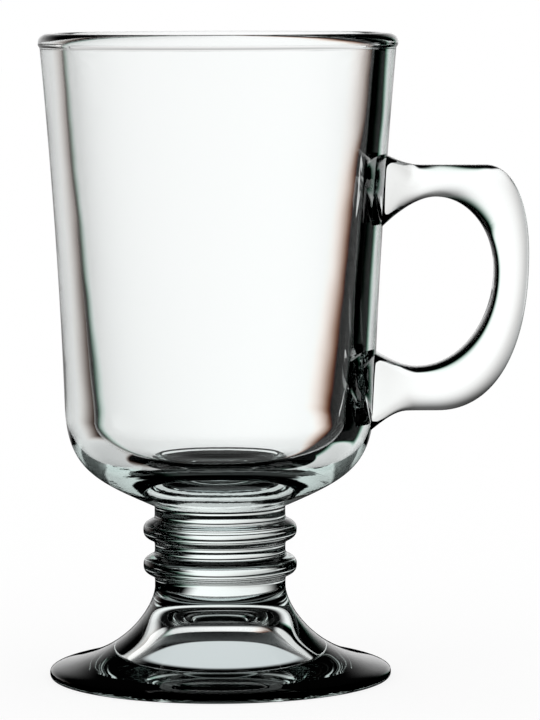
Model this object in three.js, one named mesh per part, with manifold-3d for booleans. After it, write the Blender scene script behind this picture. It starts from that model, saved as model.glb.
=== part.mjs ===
// A footed glass cup for hot drinks: a tapered bowl with a beaded rim, a closed handle on one side, a short solid
// stem with two ring knops, and a flared foot that is hollow underneath. It is clear pressed glass throughout.
//
// Units are millimetres and +Z is up. The origin is on the table, in the middle of the cup's length with its
// handle, and the handle points along +X.

import * as THREE from "three";
import { mergeVertices } from "three/addons/utils/BufferGeometryUtils.js";
import Module from "manifold-3d";

const wasm = await Module();
wasm.setup();

// Foot, from the table up
const footRadius = 36.5;
const footHeight = 19.5;
const footEdgeHeight = 1.1;
const footEdgeRounding = 0.8;
const footEdgeSwell = 1.4;
const shoulderInset = 9.0;
const shoulderHeight = 4.55;
const shoulderSlope = 0.4;
const standingRingWidth = 7.0;
const hollowHeight = 13.8;
const hollowOverhang = 5.55;
const undersideRise = 0.3;

// Stem, from the foot up: neck, knop, waist, knop, neck
const neckRadius = 13.95;
const lowerNeck = 1.45;
const knopHeight = 6.0;
const knopProjection = 2.45;
const waistHeight = 1.55;
const upperNeck = 2.2;

// Bowl, with heights above its seam with the stem
const bowlHeight = 100.5;
const rimRadius = 38.1;
const lipWidth = 4.8;
const lipCrown = 2.0;
const beadHeight = 0.9;
const beadStep = 0.4;
const wallWaistRadius = 34.05;
const wallWaistHeight = 56.8;
const heelRadius = 32.95;
const heelHeight = 21.7;
const heelWall = 6.0;
const undersideSlope = 0.453;
const baseThickness = 8.7;
const cavityFloorRadius = 8.9;
const cavityHeelDrop = 2.2;

// Handle, with heights above the same seam and its reach from the wall's waist
const handleReach = 31.8;
const handleTop = 72.5;
const handleBottom = 20.2;
const handleSideRise = 33.1;
const upperCornerReach = 9.35;
const upperFlat = 13.55;
const lowerCornerReach = 19.3;
const lowerFlat = 6.7;
const upperArm = 6.8;
const gripArm = 7.55;
const lowerArm = 9.4;
const gripSideRise = 30.1;
const gripCrownReach = 12.3;
const gripFloorReach = 16.3;
const rootInset = 2.6;
const rootFlare = 4.6;
const gripUpperFlare = 9.2;
const gripLowerFlare = 4.2;
const handleWidth = 9.6;
const rootWidth = 12.5;
const rootShare = 0.16;

// Clearance between the handle's roots and the wall that carries them
const seamClearance = 0.3;

// How full the curves are: 0.55 is a round corner and 1 a square one
const roundCorner = 0.55;
const fullCorner = 0.62;
const flareFullness = 0.69;
const cavityFullness = 0.77;
const sectionSquareness = 2.6;

// The dome under the foot: the shares of its radius that are its flat crown and its shoulder, and its fullness
const hollowCrown = 0.63;
const hollowShoulder = 0.54;
const hollowFullness = 0.53;

// Facets round the turned pieces, and along and round the handle
const turnedFacets = 56;
const handleStations = 48;
const handleFacets = 20;

const { lerp, smoothstep } = THREE.MathUtils;
const stemHeight = lowerNeck + knopHeight + waistHeight + knopHeight + upperNeck;
const seam = footHeight + stemHeight;
const rim = seam + bowlHeight;
const handleSide = wallWaistRadius + handleReach;
const axisOffset = (rimRadius - handleSide) / 2;

const at = (radius, height) => new THREE.Vector2(radius, height);

// A stretch of an outline is a curve with its number of steps.
const straight = (a, b) => ({ curve: new THREE.LineCurve(a, b), steps: 1 });
const sweep = (a, b, c, steps) => ({ curve: new THREE.QuadraticBezierCurve(a, b, c), steps });
const bend = (a, b, c, d, steps) => ({ curve: new THREE.CubicBezierCurve(a, b, c, d), steps });

// A quarter turn that leaves a lying flat and reaches b standing upright.
function riser(a, b, fullness, steps) {
  return bend(a, at(lerp(a.x, b.x, fullness), a.y), at(b.x, lerp(b.y, a.y, fullness)), b, steps);
}

// A quarter turn that leaves a standing upright and reaches b lying flat.
function faller(a, b, fullness, steps) {
  return bend(a, at(a.x, lerp(a.y, b.y, fullness)), at(lerp(b.x, a.x, fullness), b.y), b, steps);
}

// The spread of an arm of the handle where it meets the wall, from the root to its flat stretch.
function rootSpread(root, flat, steps) {
  const leaving = at(lerp(root.x, flat.x, 1 / 3), lerp(root.y, flat.y, 1 / 2));
  return bend(root, leaving, at(lerp(flat.x, root.x, 1 / 3), flat.y), flat, steps);
}

// The same stretch run the other way, with its points changed by a rule if one is given.
function reversed({ curve, steps }, change = (point) => point) {
  const [a, b, c, d] = [curve.v3, curve.v2, curve.v1, curve.v0].map(change);
  return bend(a, b, c, d, steps);
}

function outline(stretches) {
  const points = stretches.flatMap(({ curve, steps }) => curve.getPoints(steps));
  return points.filter((point, i) => i === 0 || point.distanceTo(points[i - 1]) > 1e-6);
}

function turned(stretches) {
  return new THREE.LatheGeometry(outline(stretches), turnedFacets).rotateX(Math.PI / 2);
}

function solid(geometry) {
  const bare = geometry.clone();
  bare.deleteAttribute("normal");
  bare.deleteAttribute("uv");
  const { attributes, index } = mergeVertices(bare);
  const vertProperties = new Float32Array(attributes.position.array);
  const triVerts = new Uint32Array(index.array);
  return new wasm.Manifold(new wasm.Mesh({ numProp: 3, vertProperties, triVerts }));
}

function geometryOf(manifold) {
  const { vertProperties, triVerts } = manifold.getMesh();
  const geometry = new THREE.BufferGeometry();
  geometry.setAttribute("position", new THREE.BufferAttribute(vertProperties, 3));
  geometry.setIndex(new THREE.BufferAttribute(triVerts, 1));
  geometry.computeVertexNormals();
  return geometry;
}

function glassPiece(name, geometry, color) {
  const material = new THREE.MeshStandardMaterial({ color, roughness: 0.04, metalness: 0 });
  const mesh = new THREE.Mesh(geometry, material);
  mesh.name = name;
  return mesh;
}

// The foot: a domed hollow under the stem, a shallow rise, the flat standing ring, a thin rounded edge, and a flare.
function foot() {
  const ringOuter = footRadius - footEdgeRounding;
  const ringInner = ringOuter - standingRingWidth;
  const hollowRadius = neckRadius + hollowOverhang;
  const hollowEdge = at(hollowRadius, undersideRise);
  const hollowSide = at(hollowRadius * hollowShoulder, lerp(undersideRise, hollowHeight, hollowFullness));
  const shoulder = at(footRadius - shoulderInset, shoulderHeight);
  const neck = at(neckRadius, footHeight);
  const onSlope = (radius) => at(radius, shoulder.y - (radius - shoulder.x) * shoulderSlope);
  const flareFoot = onSlope(lerp(shoulder.x, neck.x, flareFullness));
  const flareTop = at(neck.x, lerp(flareFoot.y, neck.y, flareFullness));
  const edge = at(footRadius, footEdgeHeight);
  const profile = turned([
    bend(at(0, hollowHeight), at(hollowRadius * hollowCrown, hollowHeight), hollowSide, hollowEdge, 12),
    straight(hollowEdge, at(ringInner, 0)),
    straight(at(ringInner, 0), at(ringOuter, 0)),
    sweep(at(ringOuter, 0), at(footRadius, 0), edge, 3),
    bend(edge, at(edge.x, edge.y + footEdgeSwell), onSlope(lerp(shoulder.x, edge.x, fullCorner)), shoulder, 7),
    bend(shoulder, flareFoot, flareTop, neck, 12),
    straight(neck, at(0, neck.y)),
  ]);
  return glassPiece("foot", profile, 0xcfdcd6);
}

// One ring knop, swelling out of the neck and back, from its lower end.
function knop(start) {
  const middle = start + knopHeight / 2;
  const tip = at(neckRadius + knopProjection, middle);
  const lowerHalf = bend(
    at(neckRadius, start),
    at(neckRadius, lerp(start, middle, 0.4)),
    at(tip.x, lerp(middle, start, 0.75)),
    tip,
    6,
  );
  return [lowerHalf, reversed(lowerHalf, (point) => at(point.x, 2 * middle - point.y))];
}

// The stem: solid glass between the foot and the bowl.
function stem() {
  const lowerKnop = footHeight + lowerNeck;
  const upperKnop = lowerKnop + knopHeight + waistHeight;
  const profile = turned([
    straight(at(0, footHeight), at(neckRadius, footHeight)),
    ...knop(lowerKnop),
    ...knop(upperKnop),
    straight(at(neckRadius, seam), at(0, seam)),
  ]);
  return glassPiece("stem", profile, 0xbccbc5);
}

// The bowl's outside from its seam up to the bead, pushed out by a clearance.
function bowlOutside(clearance) {
  const neck = at(neckRadius + clearance, seam);
  const heel = at(heelRadius + clearance, seam + heelHeight);
  const waist = at(wallWaistRadius + clearance, seam + wallWaistHeight);
  const beadFoot = at(rimRadius - beadStep + clearance, rim - lipCrown - beadHeight);
  const wallLean = (waist.x - heel.x) / (waist.y - heel.y);
  const heelDrop = heelHeight * fullCorner;
  const undersideRun = (heel.x - neck.x) * flareFullness;
  return [
    bend(
      neck,
      at(neck.x + undersideRun, neck.y + undersideRun * undersideSlope),
      at(heel.x - heelDrop * wallLean, heel.y - heelDrop),
      heel,
      12,
    ),
    sweep(heel, waist, beadFoot, 8),
  ];
}

// The cavity: the lip's inner edge, a straight taper, and a rounded heel down to the floor.
function cavity() {
  const lipInside = at(rimRadius - lipWidth, rim - lipCrown);
  const heel = at(heelRadius - heelWall, seam + heelHeight - cavityHeelDrop);
  const floor = at(cavityFloorRadius, seam + baseThickness);
  const lean = (lipInside.x - heel.x) / (lipInside.y - heel.y);
  const drop = (heel.y - floor.y) * roundCorner;
  const spread = at(lerp(floor.x, heel.x, cavityFullness), floor.y);
  return [
    straight(lipInside, heel),
    bend(heel, at(heel.x - drop * lean, heel.y - drop), spread, floor, 12),
    straight(floor, at(0, floor.y)),
  ];
}

// The bowl: a thick base, a tapered wall, and a rounded lip with a bead below it.
function bowl() {
  const crown = at(rimRadius - lipWidth / 2, rim);
  const lipOutside = at(rimRadius, rim - lipCrown);
  const lipInside = at(rimRadius - lipWidth, rim - lipCrown);
  const beadFoot = at(rimRadius - beadStep, rim - lipCrown - beadHeight);
  const profile = turned([
    straight(at(0, seam), at(neckRadius, seam)),
    ...bowlOutside(0),
    riser(beadFoot, at(rimRadius, beadFoot.y + beadStep), roundCorner, 2),
    faller(lipOutside, crown, roundCorner, 5),
    riser(crown, lipInside, roundCorner, 5),
    ...cavity(),
  ]);
  return glassPiece("bowl", profile, 0xdde8e3);
}

// Points at even distances along a row of stretches.
function evenly(stretches) {
  const path = new THREE.CurvePath();
  stretches.forEach(({ curve }) => path.add(curve));
  return path.getSpacedPoints(handleStations - 1);
}

// The handle's back edge, away from the bowl, from a start inside the wall above to one inside it below.
function backEdge(coreX, wallX) {
  const top = seam + handleTop;
  const bottom = seam + handleBottom;
  const side = at(handleSide, bottom + handleSideRise);
  const topEnd = at(side.x - upperCornerReach, top);
  const topStart = at(topEnd.x - upperFlat, top);
  const bottomEnd = at(side.x - lowerCornerReach, bottom);
  const bottomStart = at(bottomEnd.x - lowerFlat, bottom);
  const upperRoot = at(wallX, top + rootFlare);
  const lowerRoot = at(wallX, bottom - rootFlare);
  return evenly([
    straight(at(coreX, upperRoot.y), upperRoot),
    rootSpread(upperRoot, topStart, 12),
    straight(topStart, topEnd),
    riser(topEnd, side, fullCorner, 16),
    faller(side, bottomEnd, fullCorner, 16),
    straight(bottomEnd, bottomStart),
    reversed(rootSpread(lowerRoot, bottomStart, 12)),
    straight(lowerRoot, at(coreX, lowerRoot.y)),
  ]);
}

// The handle's grip edge, round the finger opening, between the same two ends.
function gripEdge(coreX, wallX) {
  const side = at(handleSide - gripArm, seam + handleBottom + gripSideRise);
  const crown = at(side.x - gripCrownReach, seam + handleTop - upperArm);
  const floor = at(side.x - gripFloorReach, seam + handleBottom + lowerArm);
  const upperRoot = at(wallX, crown.y - gripUpperFlare);
  const lowerRoot = at(wallX, floor.y + gripLowerFlare);
  return evenly([
    straight(at(coreX, upperRoot.y), upperRoot),
    rootSpread(upperRoot, crown, 16),
    riser(crown, side, roundCorner, 16),
    faller(side, floor, roundCorner, 16),
    reversed(rootSpread(lowerRoot, floor, 12)),
    straight(lowerRoot, at(coreX, lowerRoot.y)),
  ]);
}

// The handle's width, front to back, at a share of its way from one root to the other.
function widthAlong(share) {
  return lerp(rootWidth, handleWidth, smoothstep(Math.min(share, 1 - share), 0, rootShare));
}

// Rounded-square sections lofted between two edges in the plane through the axis, as one closed mesh.
function loft(back, grip) {
  const rounded = (value) => Math.sign(value) * Math.abs(value) ** (2 / sectionSquareness);
  const vertices = [];
  const triangles = [];
  back.forEach((edge, station) => {
    const middle = edge.clone().lerp(grip[station], 0.5);
    const half = edge.clone().sub(middle);
    const halfWidth = widthAlong(station / (back.length - 1)) / 2;
    for (let i = 0; i < handleFacets; i++) {
      const turn = (2 * Math.PI * i) / handleFacets;
      const outward = rounded(Math.cos(turn));
      const across = halfWidth * rounded(Math.sin(turn));
      vertices.push(middle.x + half.x * outward, across, middle.y + half.y * outward);
      if (station === 0) continue;
      const a = station * handleFacets + i;
      const b = station * handleFacets + ((i + 1) % handleFacets);
      triangles.push(a, b, a - handleFacets, b, b - handleFacets, a - handleFacets);
    }
  });
  const last = (back.length - 1) * handleFacets;
  for (let i = 1; i < handleFacets - 1; i++) {
    triangles.push(0, i, i + 1);
    triangles.push(last, last + i + 1, last + i);
  }
  const geometry = new THREE.BufferGeometry();
  geometry.setAttribute("position", new THREE.Float32BufferAttribute(vertices, 3));
  geometry.setIndex(triangles);
  return geometry;
}

// The handle, trimmed where its two roots meet the bowl's wall.
function handle() {
  const wallX = wallWaistRadius - rootInset;
  const coreX = wallX - heelWall;
  const arms = solid(loft(backEdge(coreX, wallX), gripEdge(coreX, wallX)));
  const wall = turned([
    straight(at(0, seam), at(neckRadius + seamClearance, seam)),
    ...bowlOutside(seamClearance),
    straight(at(rimRadius, rim - lipCrown), at(0, rim)),
  ]);
  return glassPiece("handle", geometryOf(arms.subtract(solid(wall))), 0xe4eeea);
}

const cup = new THREE.Group();
cup.add(foot(), stem(), bowl(), handle());
cup.position.x = axisOffset;

export default cup;
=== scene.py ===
# A footed glass cup of clear pressed glass, standing on a pale floor. The glass is one continuous closed
# body, as the pressed cup is, so no light is turned back at a seam that the real glass doesn't have.
#
# The cup's sizes are in millimetres, measured from its own axis and from the table. The meshes, the light and
# the floor are in metres.

from math import atan2, cos, hypot, pi, radians, sin

import bpy
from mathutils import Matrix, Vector


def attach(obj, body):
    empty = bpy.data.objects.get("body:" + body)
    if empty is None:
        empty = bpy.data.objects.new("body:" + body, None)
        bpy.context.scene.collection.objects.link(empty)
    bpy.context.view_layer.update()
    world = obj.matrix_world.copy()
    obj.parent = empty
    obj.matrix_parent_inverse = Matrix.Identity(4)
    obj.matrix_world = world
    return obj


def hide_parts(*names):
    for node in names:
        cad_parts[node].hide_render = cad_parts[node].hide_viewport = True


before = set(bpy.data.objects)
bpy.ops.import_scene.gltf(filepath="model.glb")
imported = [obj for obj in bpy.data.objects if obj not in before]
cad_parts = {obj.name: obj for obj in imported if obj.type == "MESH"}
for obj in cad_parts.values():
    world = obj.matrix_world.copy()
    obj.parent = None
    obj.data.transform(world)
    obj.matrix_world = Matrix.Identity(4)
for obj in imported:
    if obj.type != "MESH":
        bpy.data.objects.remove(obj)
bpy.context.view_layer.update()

MM = 0.001
AXIS_X = -13.875  # the cup's axis in the row frame, whose origin is in the middle of the whole length

# Foot, from the table up
FOOT_RADIUS = 36.5
FOOT_HEIGHT = 19.5
FOOT_EDGE_HEIGHT = 1.1
FOOT_EDGE_ROUNDING = 0.8
FOOT_EDGE_SWELL = 1.4
SHOULDER_INSET = 9.0
SHOULDER_HEIGHT = 4.55
SHOULDER_SLOPE = 0.4
HOLLOW_HEIGHT = 13.8
HOLLOW_RADIUS = 19.5
HOLLOW_CROWN = 0.63
HOLLOW_SHOULDER = 0.54
HOLLOW_FULLNESS = 0.53
UNDERSIDE_RISE = 0.3
STANDING_RING_WIDTH = 7.0

# Stem
NECK_RADIUS = 13.95
LOWER_NECK = 1.45
KNOP_HEIGHT = 6.0
KNOP_PROJECTION = 2.45
KNOP_EASE = 0.4
KNOP_FULLNESS = 0.75
WAIST_HEIGHT = 1.55
UPPER_NECK = 2.2

# Bowl
SEAM = 36.7
RIM = 137.2
RIM_RADIUS = 38.1
LIP_WIDTH = 4.8
LIP_CROWN = 2.0
BEAD_HEIGHT = 0.9
BEAD_STEP = 0.4
WALL_WAIST = (34.05, 93.5)
HEEL = (32.95, 58.4)
HEEL_WALL = 6.0
UNDERSIDE_SLOPE = 0.453
CAVITY_FLOOR = 45.4
CAVITY_FLOOR_RADIUS = 8.9
CAVITY_HEEL_DROP = 2.2

# Handle, with the side's reach from the axis and the other reaches from the side
HANDLE_SIDE = 65.85
HANDLE_TOP = 109.2
HANDLE_BOTTOM = 56.9
HANDLE_SIDE_RISE = 33.1
UPPER_CORNER_REACH = 9.35
UPPER_FLAT = 13.55
LOWER_CORNER_REACH = 19.3
LOWER_FLAT = 6.7
UPPER_ARM = 6.8
GRIP_ARM = 7.55
LOWER_ARM = 9.4
GRIP_SIDE_RISE = 30.1
GRIP_CROWN_REACH = 12.3
GRIP_FLOOR_REACH = 16.3
HANDLE_WIDTH = 9.6

# Where the handle meets the wall. A root's width eases to the handle's over a share of its length.
ROOT_INSET = 2.6
ROOT_FLARE = 4.6
GRIP_UPPER_FLARE = 9.2
GRIP_LOWER_FLARE = 4.2
ROOT_CORE = 1.6
ROOT_DEPTH = 1.5
ROOT_WIDTH = 12.5
ROOT_SHARE = 0.16

# Fullness of the curves: 0.55 is a round corner and 1 a square one
ROUND_CORNER = 0.55
FULL_CORNER = 0.62
FLARE_FULLNESS = 0.69
CAVITY_FULLNESS = 0.77

# The handle's section: 2 is round, and more is squarer. It changes over these shares of the handle's length,
# from either end and from its upper end.
OUTER_FLATNESS = 3.0
CORNER_FLATNESS = 3.0
GRIP_FLATNESS = 9.0
ROOT_FLATNESS = 22.0
CROWN_ROUNDNESS = 2.3
ROOT_ROUNDS_OFF = (0.03, 0.12)
GRIP_FLATTENS = (0.37, 0.42)

# Creases that turn by more than the least angle are rounded. That takes no more than a share of the last step
# before one and of the first step after it.
CREASE_ROUNDING = 0.45
LEAST_CREASE = radians(6)
MOST_OF_A_STEP = 0.45
SHARP_EDGE = radians(35)

# Steps round the turned body, along and round the handle, and to a point of its section
TURNED_STEPS = 208
HANDLE_STATIONS = 120
HANDLE_STEPS = 88
SECTION_STEPS = 16

# Small marks from the mould lie in the glass at the cavity's floor. They start and end over these heights,
# and fade outward over this radius.
MARKS_START = (0.042, 0.044)
MARKS_END = (0.048, 0.053)
MARKS_RADIUS = (0.016, 0.023)
MARKS_SHARE = 0.3

# The lit panel behind the cup. Bearings are in degrees from straight behind, and towards the handle they are
# above 0. Each row has three values: for light that comes straight through both walls, for light through one
# thickness of glass, and for light that the glass has turned back.
PANEL_RIGHT_START = (10.5, 10.5, 18.0)
PANEL_RIGHT_END = (21.0, 28.0, 28.5)
PANEL_LEFT_START = (24.0, -5.0, 30.0)
PANEL_LEFT_END = (36.0, 30.0, 62.0)
PANEL_LEFT_LEVEL = (0.0, 0.66, 0.0)

# The same for the panel's top, in heights of a direction, where 1 is straight up
PANEL_TOP_START = (0.07, -0.05, 0.07)
PANEL_TOP_END = (0.44, 0.55, 0.44)
PANEL_TOP_LEVEL = (0.004, 0.12, 0.004)

# The panel's brightness, its dimmer left part, and how much softer its right end is through both walls.
# Each pair, here and below, is where a change starts and where it is done.
PANEL_LEVEL = 1.08
DIMMER_LEFT = (-6.0, 20.0)
DIMMER_LEFT_LEVEL = 0.86
SOFTER_END = 8.0

# How many degrees the red, green and blue light are each shifted, and how much narrower each is
FRINGES = ((0.9, 0), (0, 0), (0, 0.4))

# The lights beyond the panel's ends, and the white room past the dark flags there
SIDE_LIGHT_START = (39.0, 43.0)
SIDE_LIGHT_END = (62.0, 75.0)
SIDE_LIGHT_FOOT = (0.06, 0.08)
SIDE_LIGHT_TOP = (0.40, 0.60)
SIDE_LIGHT_LEVEL = 0.8
RIGHT_FLAG_END = (42.0, 54.0)
LEFT_FLAG_END = (40.0, 52.0)
ROOM_TOP = (0.05, 0.10)

# Painted shade: what is left of light each time that the glass turns it back again, and what it loses across
# the bowl
KEPT_EACH_TURN = 0.45
LOST_ACROSS_THE_BOWL = 0.7

# The light painted on the floor, which only the glass shows, by the distance from the cup's axis. There the
# panel's ends, or the right flag's end, are so many degrees further out.
FLOOR_REACH = 6.0
BOWL_FLOOR = (0.16, 0.40)
BOWL_FLOOR_WIDER = 5.0
HANDLE_FLOOR = (0.07, 0.095)
HANDLE_FLOOR_WIDER = 14.0
FOOT_FLOOR_START = (0.05, 0.06)
FOOT_FLOOR_END = (0.09, 0.15)
FOOT_FLOOR_WIDER = 40.0
FLAG_FLOOR = (0.40, 0.48)
FLAG_FLOOR_WIDER = 36.0
FAR_FLOOR = (1.3, 2.1)

# Painted shades on the floor near the cup, which only the glass shows
FOOT_EDGE = (0.036, 0.038)
MIRRORED_FLOOR = (0.25, 0.38)
MIRRORED_FLOOR_SHADE = 0.6
DIM_FLOOR = (0.08, 0.16)
DIM_FLOOR_SHADE = 0.33
STEM_FLOOR = (0.11, 0.17)
STEM_LIGHT_RIGHT = (9.0, 19.0)
STEM_LIGHT_LEFT = (20.0, 45.0)

# A painted patch of light on the table under the foot's hollow, which only the glass shows
PAINTED_PATCH_MIDDLE = (AXIS_X * MM + 0.0005, 0.0025, 0)
PAINTED_PATCH_EDGE = (0.0160, 0.0185)
PAINTED_HOLLOW_LIGHT = (0.66, 0.71, 0.72)

# The share of what the eye sees of the floor that is plain white. The rest takes the cup's shadow.
WHITE_TO_THE_EYE = 0.8
WHITE = (1, 1, 1, 1)

# The camera, in millimetres and degrees
LENS = 205
EYE = (-3.1, -868.8, 148)
DOWNWARD = 5.28
ROLL = -0.17


def mix(a, b, share):
    return a + (b - a) * share


def line(a, b, steps=1):
    return [(mix(a[0], b[0], i / steps), mix(a[1], b[1], i / steps)) for i in range(steps + 1)]


def bend(a, b, c, d, steps):
    points = []
    for i in range(steps + 1):
        t = i / steps
        u = 1 - t
        shares = (u**3, 3 * u * u * t, 3 * u * t * t, t**3)
        points.append(tuple(sum(s * p for s, p in zip(shares, row)) for row in zip(a, b, c, d)))
    return points


def sweep(a, b, c, steps):
    first = tuple(mix(p, q, 2 / 3) for p, q in zip(a, b))
    second = tuple(mix(p, q, 2 / 3) for p, q in zip(c, b))
    return bend(a, first, second, c, steps)


def riser(a, b, fullness, steps):
    """A quarter turn that leaves a lying flat and reaches b standing upright."""
    return bend(a, (mix(a[0], b[0], fullness), a[1]), (b[0], mix(b[1], a[1], fullness)), b, steps)


def faller(a, b, fullness, steps):
    """A quarter turn that leaves a standing upright and reaches b lying flat."""
    return bend(a, (a[0], mix(a[1], b[1], fullness)), (mix(b[0], a[0], fullness), b[1]), b, steps)


def root_spread(root, flat, steps):
    """The spread of an arm of the handle where it meets the wall."""
    leaving = (mix(root[0], flat[0], 1 / 3), mix(root[1], flat[1], 1 / 2))
    return bend(root, leaving, (mix(flat[0], root[0], 1 / 3), flat[1]), flat, steps)


def trimmed(points, length):
    """The row of points without its last stretch of the given length."""
    kept = list(points)
    while len(kept) > 2:
        last = hypot(kept[-1][0] - kept[-2][0], kept[-1][1] - kept[-2][1])
        if last > length:
            break
        length -= last
        kept.pop()
    last = hypot(kept[-1][0] - kept[-2][0], kept[-1][1] - kept[-2][1])
    share = min(length / last, MOST_OF_A_STEP)
    kept[-1] = tuple(mix(p, q, share) for p, q in zip(kept[-1], kept[-2]))
    return kept


def joined(stretches, rounding):
    """One outline from stretches that meet end to end, with each crease between them rounded."""
    outline = list(stretches[0])
    for following in stretches[1:]:
        corner = outline[-1]
        before = atan2(corner[1] - outline[-2][1], corner[0] - outline[-2][0])
        after = atan2(following[1][1] - corner[1], following[1][0] - corner[0])
        turn = abs((after - before + pi) % (2 * pi) - pi)
        if turn > LEAST_CREASE:
            start = trimmed(outline, rounding)
            end = trimmed(following[::-1], rounding)[::-1]
            outline = start + sweep(start[-1], corner, end[0], steps=6)[1:-1] + end
        else:
            outline += following[1:]
    return outline


def foot_outline():
    ring_outer = FOOT_RADIUS - FOOT_EDGE_ROUNDING
    ring_inner = ring_outer - STANDING_RING_WIDTH
    shoulder = (FOOT_RADIUS - SHOULDER_INSET, SHOULDER_HEIGHT)
    neck = (NECK_RADIUS, FOOT_HEIGHT)
    edge = (FOOT_RADIUS, FOOT_EDGE_HEIGHT)

    def on_slope(radius):
        return radius, shoulder[1] - (radius - shoulder[0]) * SHOULDER_SLOPE

    flare_foot = on_slope(mix(shoulder[0], neck[0], FLARE_FULLNESS))
    flare_top = (neck[0], mix(flare_foot[1], neck[1], FLARE_FULLNESS))
    edge_swell = (edge[0], edge[1] + FOOT_EDGE_SWELL)
    return [
        bend(
            (0, HOLLOW_HEIGHT),
            (HOLLOW_CROWN * HOLLOW_RADIUS, HOLLOW_HEIGHT),
            (HOLLOW_SHOULDER * HOLLOW_RADIUS, mix(UNDERSIDE_RISE, HOLLOW_HEIGHT, HOLLOW_FULLNESS)),
            (HOLLOW_RADIUS, UNDERSIDE_RISE),
            steps=40,
        ),
        line((HOLLOW_RADIUS, UNDERSIDE_RISE), (ring_inner, 0), steps=12),
        line((ring_inner, 0), (ring_outer, 0), steps=2),
        sweep((ring_outer, 0), (FOOT_RADIUS, 0), edge, steps=6),
        bend(edge, edge_swell, on_slope(mix(shoulder[0], edge[0], FULL_CORNER)), shoulder, steps=20),
        bend(shoulder, flare_foot, flare_top, neck, steps=36),
    ]


def knop_outline(start):
    middle = start + KNOP_HEIGHT / 2
    tip = NECK_RADIUS + KNOP_PROJECTION
    lower = bend(
        (NECK_RADIUS, start),
        (NECK_RADIUS, mix(start, middle, KNOP_EASE)),
        (tip, mix(middle, start, KNOP_FULLNESS)),
        (tip, middle),
        steps=16,
    )
    return [lower, [(radius, 2 * middle - height) for radius, height in lower[::-1]]]


def stem_outline():
    lower_knop = FOOT_HEIGHT + LOWER_NECK
    upper_knop = lower_knop + KNOP_HEIGHT + WAIST_HEIGHT
    return [
        line((NECK_RADIUS, FOOT_HEIGHT), (NECK_RADIUS, lower_knop), steps=2),
        *knop_outline(lower_knop),
        line((NECK_RADIUS, lower_knop + KNOP_HEIGHT), (NECK_RADIUS, upper_knop), steps=2),
        *knop_outline(upper_knop),
        line((NECK_RADIUS, upper_knop + KNOP_HEIGHT), (NECK_RADIUS, SEAM), steps=2),
    ]


def bowl_outline():
    bead_foot = (RIM_RADIUS - BEAD_STEP, RIM - LIP_CROWN - BEAD_HEIGHT)
    wall_lean = (WALL_WAIST[0] - HEEL[0]) / (WALL_WAIST[1] - HEEL[1])
    heel_drop = (HEEL[1] - SEAM) * FULL_CORNER
    underside_run = (HEEL[0] - NECK_RADIUS) * FLARE_FULLNESS
    underside = (NECK_RADIUS + underside_run, SEAM + underside_run * UNDERSIDE_SLOPE)
    crown = (RIM_RADIUS - LIP_WIDTH / 2, RIM)
    lip_outside = (RIM_RADIUS, RIM - LIP_CROWN)
    lip_inside = (RIM_RADIUS - LIP_WIDTH, RIM - LIP_CROWN)
    cavity_heel = (HEEL[0] - HEEL_WALL, HEEL[1] - CAVITY_HEEL_DROP)
    cavity_floor = (CAVITY_FLOOR_RADIUS, CAVITY_FLOOR)
    lean = (lip_inside[0] - cavity_heel[0]) / (lip_inside[1] - cavity_heel[1])
    drop = (cavity_heel[1] - CAVITY_FLOOR) * ROUND_CORNER
    spread = (mix(CAVITY_FLOOR_RADIUS, cavity_heel[0], CAVITY_FULLNESS), CAVITY_FLOOR)
    cavity_turn = (cavity_heel[0] - drop * lean, cavity_heel[1] - drop)
    below_heel = (HEEL[0] - heel_drop * wall_lean, HEEL[1] - heel_drop)
    return [
        bend((NECK_RADIUS, SEAM), underside, below_heel, HEEL, steps=40),
        sweep(HEEL, WALL_WAIST, bead_foot, steps=40),
        riser(bead_foot, (RIM_RADIUS, bead_foot[1] + BEAD_STEP), ROUND_CORNER, steps=4),
        line((RIM_RADIUS, bead_foot[1] + BEAD_STEP), lip_outside, steps=2),
        faller(lip_outside, crown, ROUND_CORNER, steps=12),
        riser(crown, lip_inside, ROUND_CORNER, steps=12),
        line(lip_inside, cavity_heel, steps=30),
        bend(cavity_heel, cavity_turn, spread, cavity_floor, steps=30),
        line(cavity_floor, (0, CAVITY_FLOOR), steps=8),
    ]


def turned(name, outline):
    """A closed turned body from an outline that starts and ends on the axis and runs up its outside."""
    mesh = bpy.data.meshes.new(name)
    rings = outline[1:-1]
    vertices = [(0, 0, outline[0][1]), (0, 0, outline[-1][1])]
    for radius, height in rings:
        for i in range(TURNED_STEPS):
            turn = 2 * pi * i / TURNED_STEPS
            vertices.append((radius * cos(turn), radius * sin(turn), height))
    faces = []
    for i in range(TURNED_STEPS):
        j = (i + 1) % TURNED_STEPS
        faces.append((0, 2 + j, 2 + i))
        for ring in range(len(rings) - 1):
            base = 2 + ring * TURNED_STEPS
            faces.append((base + i, base + j, base + TURNED_STEPS + j, base + TURNED_STEPS + i))
        base = 2 + (len(rings) - 1) * TURNED_STEPS
        faces.append((1, base + i, base + j))
    mesh.from_pydata([((x + AXIS_X) * MM, y * MM, z * MM) for x, y, z in vertices], [], faces)
    return mesh


def evenly(stretches, count):
    """Points at even distances along stretches that meet end to end."""
    points = [stretches[0][0]]
    for stretch in stretches:
        points += stretch[1:]
    reach = [0.0]
    for a, b in zip(points, points[1:]):
        reach.append(reach[-1] + hypot(b[0] - a[0], b[1] - a[1]))
    spaced = []
    step = 0
    for i in range(count):
        wanted = reach[-1] * i / (count - 1)
        while step < len(reach) - 2 and reach[step + 1] < wanted:
            step += 1
        share = (wanted - reach[step]) / (reach[step + 1] - reach[step])
        spaced.append(tuple(mix(p, q, share) for p, q in zip(points[step], points[step + 1])))
    return spaced


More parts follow.
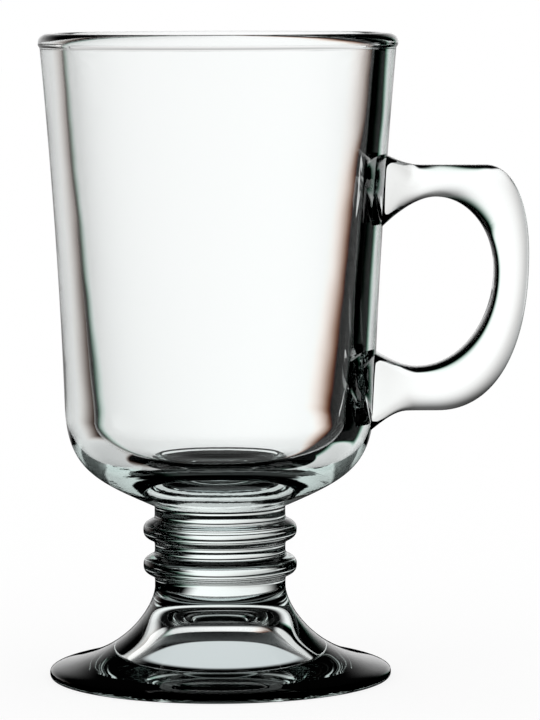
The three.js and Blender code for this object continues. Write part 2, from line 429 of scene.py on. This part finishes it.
def back_edge(core_x, wall_x):
    side = (HANDLE_SIDE, HANDLE_BOTTOM + HANDLE_SIDE_RISE)
    top_end = (side[0] - UPPER_CORNER_REACH, HANDLE_TOP)
    top_start = (top_end[0] - UPPER_FLAT, HANDLE_TOP)
    bottom_end = (side[0] - LOWER_CORNER_REACH, HANDLE_BOTTOM)
    bottom_start = (bottom_end[0] - LOWER_FLAT, HANDLE_BOTTOM)
    upper_root = (wall_x, HANDLE_TOP + ROOT_FLARE)
    lower_root = (wall_x, HANDLE_BOTTOM - ROOT_FLARE)
    return evenly(
        [
            line((core_x, upper_root[1]), upper_root),
            root_spread(upper_root, top_start, steps=40),
            line(top_start, top_end),
            riser(top_end, side, FULL_CORNER, steps=60),
            faller(side, bottom_end, FULL_CORNER, steps=60),
            line(bottom_end, bottom_start),
            root_spread(lower_root, bottom_start, steps=40)[::-1],
            line(lower_root, (core_x, lower_root[1])),
        ],
        HANDLE_STATIONS,
    )


def grip_edge(core_x, wall_x):
    side = (HANDLE_SIDE - GRIP_ARM, HANDLE_BOTTOM + GRIP_SIDE_RISE)
    crown = (side[0] - GRIP_CROWN_REACH, HANDLE_TOP - UPPER_ARM)
    lowest = (side[0] - GRIP_FLOOR_REACH, HANDLE_BOTTOM + LOWER_ARM)
    upper_root = (wall_x, crown[1] - GRIP_UPPER_FLARE)
    lower_root = (wall_x, lowest[1] + GRIP_LOWER_FLARE)
    return evenly(
        [
            line((core_x, upper_root[1]), upper_root),
            root_spread(upper_root, crown, steps=50),
            riser(crown, side, ROUND_CORNER, steps=50),
            faller(side, lowest, ROUND_CORNER, steps=50),
            root_spread(lower_root, lowest, steps=40)[::-1],
            line(lower_root, (core_x, lower_root[1])),
        ],
        HANDLE_STATIONS,
    )


def eased(value, start, end):
    share = min(max((value - start) / (end - start), 0), 1)
    return share * share * (3 - 2 * share)


def width_along(share):
    return mix(ROOT_WIDTH, HANDLE_WIDTH, eased(min(share, 1 - share), 0, ROOT_SHARE))


def flatness_along(share):
    """How flat the handle's outer side and its grip side are, by the share of its length."""
    near_root = 1 - eased(min(share, 1 - share), *ROOT_ROUNDS_OFF)
    grip_flatness = mix(CORNER_FLATNESS, GRIP_FLATNESS, eased(share, *GRIP_FLATTENS))
    return mix(OUTER_FLATNESS, ROOT_FLATNESS, near_root), mix(grip_flatness, ROOT_FLATNESS, near_root)


def section(outer_flatness, inner_flatness):
    """One cross-section of the handle, as shares of its half depth, outward, and of its half width."""
    points = []
    for i in range(HANDLE_STEPS):
        turn = 2 * pi * i / HANDLE_STEPS
        outward = cos(turn)
        across = sin(turn)
        flatness = inner_flatness if outward < 0 else outer_flatness
        reach = 1 / max(abs(outward), abs(across))
        for _ in range(SECTION_STEPS):
            depth_part = abs(reach * outward) ** flatness
            width_part = abs(reach * across) ** CROWN_ROUNDNESS
            steepness = (flatness * depth_part + CROWN_ROUNDNESS * width_part) / reach
            reach -= (depth_part + width_part - 1) / steepness
        points.append((reach * outward, reach * across))
    return points


def handle_arms(name):
    """The handle as a closed loft that starts and ends inside the bowl's wall."""
    wall_x = WALL_WAIST[0] - ROOT_INSET
    core_x = wall_x - ROOT_CORE
    back = back_edge(core_x, wall_x)
    grip = grip_edge(core_x, wall_x)
    vertices = []
    for station, (outer, inner) in enumerate(zip(back, grip)):
        middle = tuple(mix(p, q, 0.5) for p, q in zip(outer, inner))
        half = (outer[0] - middle[0], outer[1] - middle[1])
        share = station / (HANDLE_STATIONS - 1)
        half_width = width_along(share) / 2
        for outward, across in section(*flatness_along(share)):
            x = middle[0] + half[0] * outward
            z = middle[1] + half[1] * outward
            vertices.append((x, half_width * across, z))
    faces = [tuple(range(HANDLE_STEPS))]
    for station in range(HANDLE_STATIONS - 1):
        base = station * HANDLE_STEPS
        for i in range(HANDLE_STEPS):
            j = (i + 1) % HANDLE_STEPS
            faces.append((base + i, base + HANDLE_STEPS + i, base + HANDLE_STEPS + j, base + j))
    last = (HANDLE_STATIONS - 1) * HANDLE_STEPS
    faces.append(tuple(last + i for i in range(HANDLE_STEPS))[::-1])
    mesh = bpy.data.meshes.new(name)
    mesh.from_pydata([((x + AXIS_X) * MM, y * MM, z * MM) for x, y, z in vertices], [], faces)
    return mesh


def placed(name, mesh):
    thing = bpy.data.objects.new(name, mesh)
    bpy.context.scene.collection.objects.link(thing)
    return thing


def applied(thing):
    """Puts the result of the thing's modifiers into its mesh."""
    graph = bpy.context.evaluated_depsgraph_get()
    made = bpy.data.meshes.new_from_object(thing.evaluated_get(graph))
    thing.modifiers.clear()
    thing.data = made


def combined(thing, operation, other):
    change = thing.modifiers.new("combined", "BOOLEAN")
    change.operation = operation
    change.solver = "MANIFOLD"
    change.object = other
    applied(thing)
    bpy.data.objects.remove(other)


def wall_core():
    """The middle of the bowl, out to a little inside the wall's face, where the handle's two roots end."""
    underside, wall = bowl_outline()[:2]
    every = 4  # this hidden cut needs no more than every fourth point
    face = [(radius - ROOT_DEPTH, height) for radius, height in underside[::every] + wall[::every]]
    return turned("wall_core", [(0, face[0][1])] + face + [(0, face[-1][1])])


def glass_cup():
    outline = joined(foot_outline() + stem_outline() + bowl_outline(), CREASE_ROUNDING)
    cup = placed("cup_glass", turned("cup_glass", outline))
    arms = placed("handle_arms", handle_arms("handle_arms"))
    combined(arms, "DIFFERENCE", placed("wall_core", wall_core()))
    combined(cup, "UNION", arms)
    cup.data.shade_smooth()
    cup.data.set_sharp_from_angle(angle=SHARP_EDGE)
    cup.data.materials.clear()
    cup.data.materials.append(pressed_glass())
    return cup


class Socket:
    """A value in a node tree. Sums and products of it add the nodes that work them out."""

    def __init__(self, tree, link):
        self.tree = tree
        self.link = link

    def _math(self, operation, *values):
        return self.tree.node("ShaderNodeMath", dict(operation=operation), *values)

    def __add__(self, other):
        return self._math("ADD", self, other)

    def __radd__(self, other):
        return self._math("ADD", other, self)

    def __sub__(self, other):
        return self._math("SUBTRACT", self, other)

    def __rsub__(self, other):
        return self._math("SUBTRACT", other, self)

    def __mul__(self, other):
        return self._math("MULTIPLY", self, other)

    def __rmul__(self, other):
        return self._math("MULTIPLY", other, self)

    def clamped(self):
        return self.tree.node("ShaderNodeMath", dict(operation="ADD", use_clamp=True), self, 0)


class Tree:
    """The nodes of one material or of the world."""

    def __init__(self, owner):
        owner.use_nodes = True
        self.nodes = owner.node_tree.nodes
        self.links = owner.node_tree.links
        self.nodes.clear()

    def node(self, kind, settings=None, *values, output=0, **named):
        made = self.nodes.new(kind)
        for key, value in (settings or {}).items():
            setattr(made, key, value)
        for key, value in [*enumerate(values), *named.items()]:
            name = key.replace("_", " ") if isinstance(key, str) else key
            if isinstance(value, Socket):
                self.links.new(value.link, made.inputs[name])
            else:
                made.inputs[name].default_value = value
        return Socket(self, made.outputs[output]) if made.outputs else made


def fading(tree, value, start, end, level=0.0):
    """1 before the start, and the level past the end."""
    settings = dict(interpolation_type="SMOOTHSTEP")
    return tree.node("ShaderNodeMapRange", settings, value, start, end, 1.0, level)


def within(tree, value, rise, fall):
    """0 before the rise, 1 from there to the fall, and 0 past it."""
    return (1 - fading(tree, value, *rise)) * fading(tree, value, *fall)


def pressed_glass():
    material = bpy.data.materials.new("pressed_glass")
    tree = Tree(material)
    place = tree.node("ShaderNodeTexCoord", output="Object")
    height = tree.node("ShaderNodeSeparateXYZ", None, place, output="Z")
    swell = tree.node("ShaderNodeTexNoise", None, Vector=place, Scale=42.0, Detail=2.0, Roughness=0.45)
    marks = tree.node("ShaderNodeTexNoise", None, Vector=place, Scale=260.0, Detail=3.0, Roughness=0.5)
    across = tree.node(
        "ShaderNodeVectorMath", dict(operation="MULTIPLY_ADD"), place, (1, 1, 0), (-AXIS_X * MM, 0, 0)
    )
    radius = tree.node("ShaderNodeVectorMath", dict(operation="LENGTH"), across, output="Value")
    marked = within(tree, height, MARKS_START, MARKS_END) * fading(tree, radius, *MARKS_RADIUS)
    relief = swell + marks * marked * MARKS_SHARE
    normal = tree.node("ShaderNodeBump", None, Strength=0.05, Distance=0.002, Height=relief)
    surface = tree.node(
        "ShaderNodeBsdfPrincipled",
        None,
        Base_Color=WHITE,
        Roughness=0.0,
        IOR=1.52,
        Specular_Tint=(0.4, 0.4, 0.4, 1),
        Transmission_Weight=1.0,
        Normal=normal,
    )
    body = tree.node("ShaderNodeVolumeAbsorption", None, Color=(0.3, 0.75, 0.65, 1), Density=5.0)
    tree.node("ShaderNodeOutputMaterial", None, Surface=surface, Volume=body)
    return material


def light_path(tree, output):
    return tree.node("ShaderNodeLightPath", output=output)


def turned_back(tree):
    """1 for light that the glass mirrors, outside or inside, and 0 for light straight through it."""
    return light_path(tree, "Glossy Depth").clamped()


def through_one(tree):
    """1 for light that has crossed the glass's face no more than twice."""
    return (3 - light_path(tree, "Transmission Depth")).clamped()


def single_thickness(tree):
    """1 for light straight through one thickness of glass, such as the handle, and not two walls."""
    return through_one(tree) * (1 - turned_back(tree))


def two_walls(tree):
    """1 for light that goes straight through both walls of the bowl."""
    return (1 - turned_back(tree)) * (1 - single_thickness(tree))


def mirrored_outside(tree):
    """1 for light that the outside of the glass mirrors."""
    return (1 - light_path(tree, "Transmission Depth")).clamped() * turned_back(tree)


def painted_shade_on_the_way(tree):
    """Painted shade: what is left of light that the glass turns back more than once, or on its way across the
    bowl.
    """
    further = tree.node("ShaderNodeMath", dict(operation="MAXIMUM"), light_path(tree, "Glossy Depth") - 1, 0)
    kept = tree.node("ShaderNodeMath", dict(operation="POWER"), KEPT_EACH_TURN, further)
    across_the_bowl = (light_path(tree, "Transmission Depth") - 2).clamped() * turned_back(tree)
    return kept * (1 - across_the_bowl * LOST_ACROSS_THE_BOWL)


def seen_in_glass(tree):
    """1 for what the eye sees in the glass, and 0 for what it sees directly and for what lights the floor."""
    in_glass = light_path(tree, "Is Glossy Ray") + light_path(tree, "Is Transmission Ray")
    return (in_glass - light_path(tree, "Diffuse Depth")).clamped()


def by_path(tree, row):
    """The one of a row's three values that goes with the way that the light has come."""
    straight, single, turned = row
    of_single = single_thickness(tree) * (single - straight)
    return of_single + turned_back(tree) * (turned - straight) + straight


def bearing(tree, place):
    """The bearing in degrees of a place or a direction, from straight behind the cup towards the handle."""
    east = tree.node("ShaderNodeSeparateXYZ", None, place, output="X")
    north = tree.node("ShaderNodeSeparateXYZ", None, place, output="Y")
    turn = tree.node("ShaderNodeMath", dict(operation="ARCTAN2"), east, north)
    return tree.node("ShaderNodeMath", dict(operation="DEGREES"), turn)


def panel_light(tree, turn, spread, softer):
    """The wide white panel behind the cup, from its bright middle to the dark past its two ends."""
    right_start = by_path(tree, PANEL_RIGHT_START)
    right_end = by_path(tree, PANEL_RIGHT_END) + softer
    left_start = by_path(tree, PANEL_LEFT_START)
    left_end = by_path(tree, PANEL_LEFT_END)
    right = fading(tree, turn - spread, right_start, right_end)
    left = fading(tree, turn * -1 - spread, left_start, left_end, by_path(tree, PANEL_LEFT_LEVEL))
    return right * left


def side_lights(tree, turn, height):
    """The two lights that stand beyond the ends of the panel, above the flags."""
    right = within(tree, turn, SIDE_LIGHT_START, SIDE_LIGHT_END)
    left = within(tree, turn * -1, SIDE_LIGHT_START, SIDE_LIGHT_END)
    return (right + left) * within(tree, height, SIDE_LIGHT_FOOT, SIDE_LIGHT_TOP) * SIDE_LIGHT_LEVEL


def past_the_flags(tree, turn, wider):
    """The white room at the sides and in front, past a dark flag at each end of the panel."""
    right = 1 - fading(tree, turn - wider, *RIGHT_FLAG_END)
    left = 1 - fading(tree, turn * -1, *LEFT_FLAG_END)
    return (right + left) * (1 - turned_back(tree))


def three_colours(tree, turn, spread, softer, shared, room):
    """The light with the thin coloured fringes that the glass gives to its edges."""
    glow = fading(tree, turn * -1, *DIMMER_LEFT, DIMMER_LEFT_LEVEL) * PANEL_LEVEL * shared
    side = two_walls(tree) * 2 - 1
    levels = []
    for shift, narrower in FRINGES:
        panel = panel_light(tree, turn - side * shift, spread - narrower, softer)
        levels.append((panel + room).clamped() * glow)
    return tree.node("ShaderNodeCombineColor", None, *levels)


def studio():
    world = bpy.data.worlds.new("studio")
    bpy.context.scene.world = world
    world.cycles.sampling_method = "NONE"
    tree = Tree(world)
    direction = tree.node("ShaderNodeTexCoord", output="Generated")
    height = tree.node("ShaderNodeSeparateXYZ", None, direction, output="Z")
    turn = bearing(tree, direction)
    top_start = by_path(tree, PANEL_TOP_START)
    top_end = by_path(tree, PANEL_TOP_END)
    top = fading(tree, height, top_start, top_end, by_path(tree, PANEL_TOP_LEVEL))
    room = past_the_flags(tree, turn, 0) * fading(tree, height, *ROOM_TOP)
    softer = two_walls(tree) * SOFTER_END
    panel = three_colours(tree, turn, 0, softer, top * painted_shade_on_the_way(tree), room)
    beside = side_lights(tree, turn, height) * turned_back(tree) * (1 - mirrored_outside(tree))
    shade = tree.node("ShaderNodeVectorMath", dict(operation="ADD"), panel, beside)
    plain = tree.node("ShaderNodeBackground", None, Color=WHITE, Strength=1.0)
    shaded = tree.node("ShaderNodeBackground", None, Color=shade, Strength=1.0)
    light = tree.node("ShaderNodeMixShader", None, seen_in_glass(tree), plain, shaded)
    tree.node("ShaderNodeOutputWorld", None, Surface=light)


def open_floor(tree, around):
    """The panel's light painted on the floor, as the glass shows it, and the painted shades on it near the
    cup.
    """
    reach = tree.node("ShaderNodeVectorMath", dict(operation="LENGTH"), around, output="Value")
    turn = bearing(tree, around)
    single = single_thickness(tree)
    near_bowl = fading(tree, reach, *BOWL_FLOOR) * BOWL_FLOOR_WIDER
    near_handle = fading(tree, reach, *HANDLE_FLOOR) * single * HANDLE_FLOOR_WIDER
    near_foot = within(tree, reach, FOOT_FLOOR_START, FOOT_FLOOR_END) * turned_back(tree) * FOOT_FLOOR_WIDER
    spread = near_bowl + near_handle + near_foot
    softer = (1 - fading(tree, reach, *FAR_FLOOR)) * two_walls(tree) * SOFTER_END
    wider_flag = fading(tree, reach, *FLAG_FLOOR) * single * FLAG_FLOOR_WIDER

    # Painted shade: the floor is dark under the foot, in what the outside of the glass mirrors, in light
    # turned back near the cup, and near the cup for light through one thickness outside a band of bearings
    beyond_foot = 1 - fading(tree, reach, *FOOT_EDGE)
    mirrored_shade = fading(tree, reach, *MIRRORED_FLOOR) * (1 - MIRRORED_FLOOR_SHADE) + MIRRORED_FLOOR_SHADE
    mirrored_light = 1 - mirrored_shade * mirrored_outside(tree)
    turned_light = 1 - fading(tree, reach, *DIM_FLOOR) * turned_back(tree) * DIM_FLOOR_SHADE
    stem_open = fading(tree, turn, *STEM_LIGHT_RIGHT) * fading(tree, turn * -1, *STEM_LIGHT_LEFT)
    stem_light = 1 - fading(tree, reach, *STEM_FLOOR) * single * (1 - stem_open)
    shared = beyond_foot * mirrored_light * turned_light * stem_light * painted_shade_on_the_way(tree)
    return three_colours(tree, turn, spread, softer, shared, past_the_flags(tree, turn, wider_flag))


def painted_light_under_foot(tree, place):
    """A painted patch of light on the table under the foot's hollow, which only the glass shows."""
    off_middle = tree.node(
        "ShaderNodeVectorMath", dict(operation="DISTANCE"), place, PAINTED_PATCH_MIDDLE, output="Value"
    )
    share = fading(tree, off_middle, *PAINTED_PATCH_EDGE) * through_one(tree) * painted_shade_on_the_way(tree)
    return tree.node("ShaderNodeVectorMath", dict(operation="SCALE"), PAINTED_HOLLOW_LIGHT, Scale=share)


def pale_floor():
    material = bpy.data.materials.new("pale_floor")
    material.cycles.emission_sampling = "NONE"
    tree = Tree(material)
    place = tree.node("ShaderNodeTexCoord", output="Object")
    around = tree.node("ShaderNodeVectorMath", dict(operation="SUBTRACT"), place, (AXIS_X * MM, 0, 0))
    in_glass = (open_floor(tree, around), painted_light_under_foot(tree, place))
    shade = tree.node("ShaderNodeVectorMath", dict(operation="ADD"), *in_glass)
    # The floor glows with this painted light and shade, which only the glass shows
    lit = tree.node("ShaderNodeEmission", None, Color=shade, Strength=1.0)
    matt = tree.node("ShaderNodeBsdfDiffuse", None, Color=WHITE)
    white = tree.node("ShaderNodeEmission", None, Color=WHITE, Strength=1.0)
    by_eye = light_path(tree, "Is Camera Ray") * WHITE_TO_THE_EYE
    to_the_eye = tree.node("ShaderNodeMixShader", None, by_eye, matt, white)
    surface = tree.node("ShaderNodeMixShader", None, seen_in_glass(tree), to_the_eye, lit)
    tree.node("ShaderNodeOutputMaterial", None, Surface=surface)
    return material


def floor():
    mesh = bpy.data.meshes.new("floor")
    far = FLOOR_REACH
    corners = [(-far, -far, 0), (far, -far, 0), (far, far, 0), (-far, far, 0)]
    mesh.from_pydata(corners, [], [(0, 1, 2, 3)])
    mesh.materials.append(pale_floor())
    placed("floor", mesh)


def camera():
    lens = bpy.data.cameras.new("camera")
    lens.lens = LENS
    eye = bpy.data.objects.new("camera", lens)
    bpy.context.scene.collection.objects.link(eye)
    eye.location = Vector(EYE) * MM
    eye.rotation_euler = (radians(90 - DOWNWARD), 0, 0)
    eye.rotation_euler.rotate_axis("Z", radians(ROLL))
    bpy.context.scene.camera = eye


camera()
studio()
floor()
cup = glass_cup()
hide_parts("bowl", "handle", "stem", "foot")
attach(cup, "root")

scene = bpy.context.scene
scene.view_settings.view_transform = "Standard"
scene.cycles.max_bounces = 24
scene.cycles.glossy_bounces = 16
scene.cycles.transmission_bounces = 24
